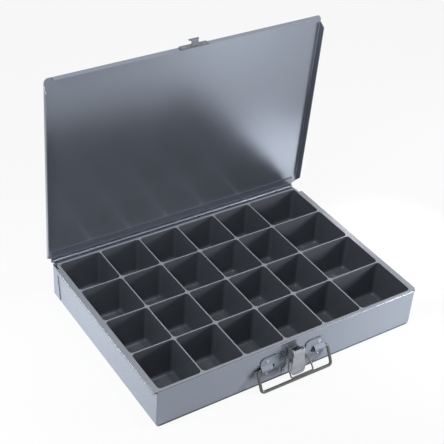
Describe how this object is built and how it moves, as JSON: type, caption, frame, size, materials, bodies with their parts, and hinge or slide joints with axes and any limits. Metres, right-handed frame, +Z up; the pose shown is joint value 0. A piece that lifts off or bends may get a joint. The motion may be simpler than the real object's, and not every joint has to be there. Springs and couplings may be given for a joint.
{
  "type": "compartment storage box",
  "caption": "Shallow sheet-steel storage box with a moulded compartment insert, piano-hinged lid, draw catch and wire bail handle.",
  "frame": {"origin": "centre of the underside, the face that rests on a table", "axes": "+X to the right seen from the front, +Y to the hinge at the rear, +Z up; the front panel with catch and handle faces -Y"},
  "size_m": [0.3466, 0.2612, 0.2956],
  "materials": {
    "enamel": "satin grey stoving enamel",
    "insert_plastic": "fine satin moulding, charcoal grey",
    "hinge_enamel": "satin grey stoving enamel",
    "pin_steel": "drawn wire",
    "catch_plate": "zinc plated",
    "wire_plate": "dark zinc plated wire",
    "rivet_plate": "zinc plated"
  },
  "bodies": {
    "box": {"body_shell": "enamel", "front_panel": "enamel", "rear_panel": "enamel", "hinge_leaf_body": "hinge_enamel", "hinge_pin": "pin_steel", "catch_base": "catch_plate", "catch_rivets": "rivet_plate", "catch_pin": "pin_steel", "handle_bracket_left": "catch_plate", "handle_bracket_right": "catch_plate", "handle_rivets": "rivet_plate"},
    "lid_assembly": {"lid": "enamel", "hinge_leaf_lid": "hinge_enamel", "strike": "catch_plate", "strike_rivets": "rivet_plate"},
    "insert": {"compartment_insert": "insert_plastic"},
    "lever": {"catch_lever": "catch_plate"},
    "loop": {"catch_loop": "wire_plate"},
    "bail": {"handle_bail": "wire_plate"}
  },
  "joints": [
    {"name": "lid_hinge", "type": "hinge", "parent": "box", "child": "lid_assembly", "pos_m": [0, 0.12, 0.0481], "axis": [-1, 0, 0], "range_deg": [-87, 3]},
    {"name": "insert_lift", "type": "slide", "parent": "box", "child": "insert", "axis": [0, 0, 1], "range_m": [0, 0.055]},
    {"name": "lever_pivot", "type": "hinge", "parent": "box", "child": "lever", "pos_m": [0, -0.1266, 0.0377], "axis": [-1, 0, 0], "range_deg": [0, 85]},
    {"name": "loop_pivot", "type": "hinge", "parent": "lever", "child": "loop", "pos_m": [0, -0.1252, 0.0275], "axis": [1, 0, 0], "range_deg": [-138, 0]},
    {"name": "bail_pivot", "type": "hinge", "parent": "box", "child": "bail", "pos_m": [0, -0.1201, 0.0225], "axis": [1, 0, 0], "range_deg": [-125, 0]}
  ]
}
